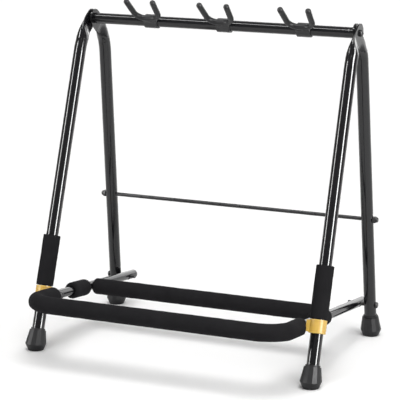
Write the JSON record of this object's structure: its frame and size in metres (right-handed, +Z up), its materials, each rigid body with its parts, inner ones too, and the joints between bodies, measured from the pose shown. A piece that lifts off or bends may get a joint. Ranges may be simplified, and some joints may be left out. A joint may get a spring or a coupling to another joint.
{
  "type": "guitar rack",
  "caption": "Folding tube rack that holds guitars side by side on two foam bars, with sliding U-shaped neck yokes on a top bar.",
  "frame": {"origin": "on the floor, at the middle of the whole object's footprint", "axes": "+X to the rack's right as seen from the front, +Y to the back, +Z up"},
  "size_m": [0.6462, 0.507, 0.7075],
  "materials": {
    "black_tube": "gloss",
    "black_rod": "satin",
    "black_hardware": "satin",
    "zinc_steel": "satin",
    "black_plastic": "satin",
    "yellow_plastic": "semi-gloss",
    "foot_rubber": "matte",
    "yoke_rubber": "satin",
    "foam": "matte"
  },
  "bodies": {
    "front_frame": {"front_leg_left": "black_tube", "front_leg_right": "black_tube", "front_foot_left": "foot_rubber", "front_foot_right": "foot_rubber", "hinge_collar_left": "yellow_plastic", "hinge_collar_right": "yellow_plastic", "leg_sleeve_left": "foam", "leg_sleeve_right": "foam", "cradle_bolts": "black_hardware", "cradle_washers": "zinc_steel", "leg_inserts": "zinc_steel"},
    "rear_frame": {"rear_leg_left": "black_tube", "rear_leg_right": "black_tube", "rear_foot_left": "foot_rubber", "rear_foot_right": "foot_rubber", "crossbar": "black_tube", "crossbar_inserts": "zinc_steel", "insert_screws": "black_hardware", "pivot_bolts": "black_hardware", "pivot_spacers": "black_plastic", "tie_rod": "black_hardware", "tie_rod_nuts": "black_hardware", "latch_pin_left": "black_hardware", "latch_pin_right": "black_hardware"},
    "cradle": {"cradle_tube": "black_tube", "cradle_rear_bar": "black_tube", "arm_bushes": "black_plastic", "arm_plugs": "black_plastic", "front_foam": "foam", "rear_foam": "foam", "side_foam_left": "foam", "side_foam_right": "foam"},
    "yoke_left": {"yoke_saddle_left": "black_plastic", "yoke_fork_left": "black_rod", "yoke_coat_left": "yoke_rubber", "yoke_screw_left": "zinc_steel"},
    "yoke_middle": {"yoke_saddle_middle": "black_plastic", "yoke_fork_middle": "black_rod", "yoke_coat_middle": "yoke_rubber", "yoke_screw_middle": "zinc_steel"},
    "yoke_right": {"yoke_saddle_right": "black_plastic", "yoke_fork_right": "black_rod", "yoke_coat_right": "yoke_rubber", "yoke_screw_right": "zinc_steel"}
  },
  "joints": [
    {"name": "frame_fold", "type": "hinge", "parent": "front_frame", "child": "rear_frame", "pos_m": [0, 0.11751, 0.6554], "axis": [-1, 0, 0], "range_deg": [0, 22]},
    {"name": "cradle_fold", "type": "hinge", "parent": "front_frame", "child": "cradle", "pos_m": [0, -0.11103, 0.111], "axis": [1, 0, 0], "range_deg": [0, 46.5]},
    {"name": "yoke_left_slide", "type": "slide", "parent": "rear_frame", "child": "yoke_left", "axis": [1, 0, 0], "range_m": [-0.05, 0.04]},
    {"name": "yoke_middle_slide", "type": "slide", "parent": "rear_frame", "child": "yoke_middle", "axis": [1, 0, 0], "range_m": [-0.04, 0.04]},
    {"name": "yoke_right_slide", "type": "slide", "parent": "rear_frame", "child": "yoke_right", "axis": [1, 0, 0], "range_m": [-0.05, 0.04]}
  ],
  "couplings": [
    {"joint": "cradle_fold", "follows": "frame_fold", "ratio": 2.1}
  ]
}
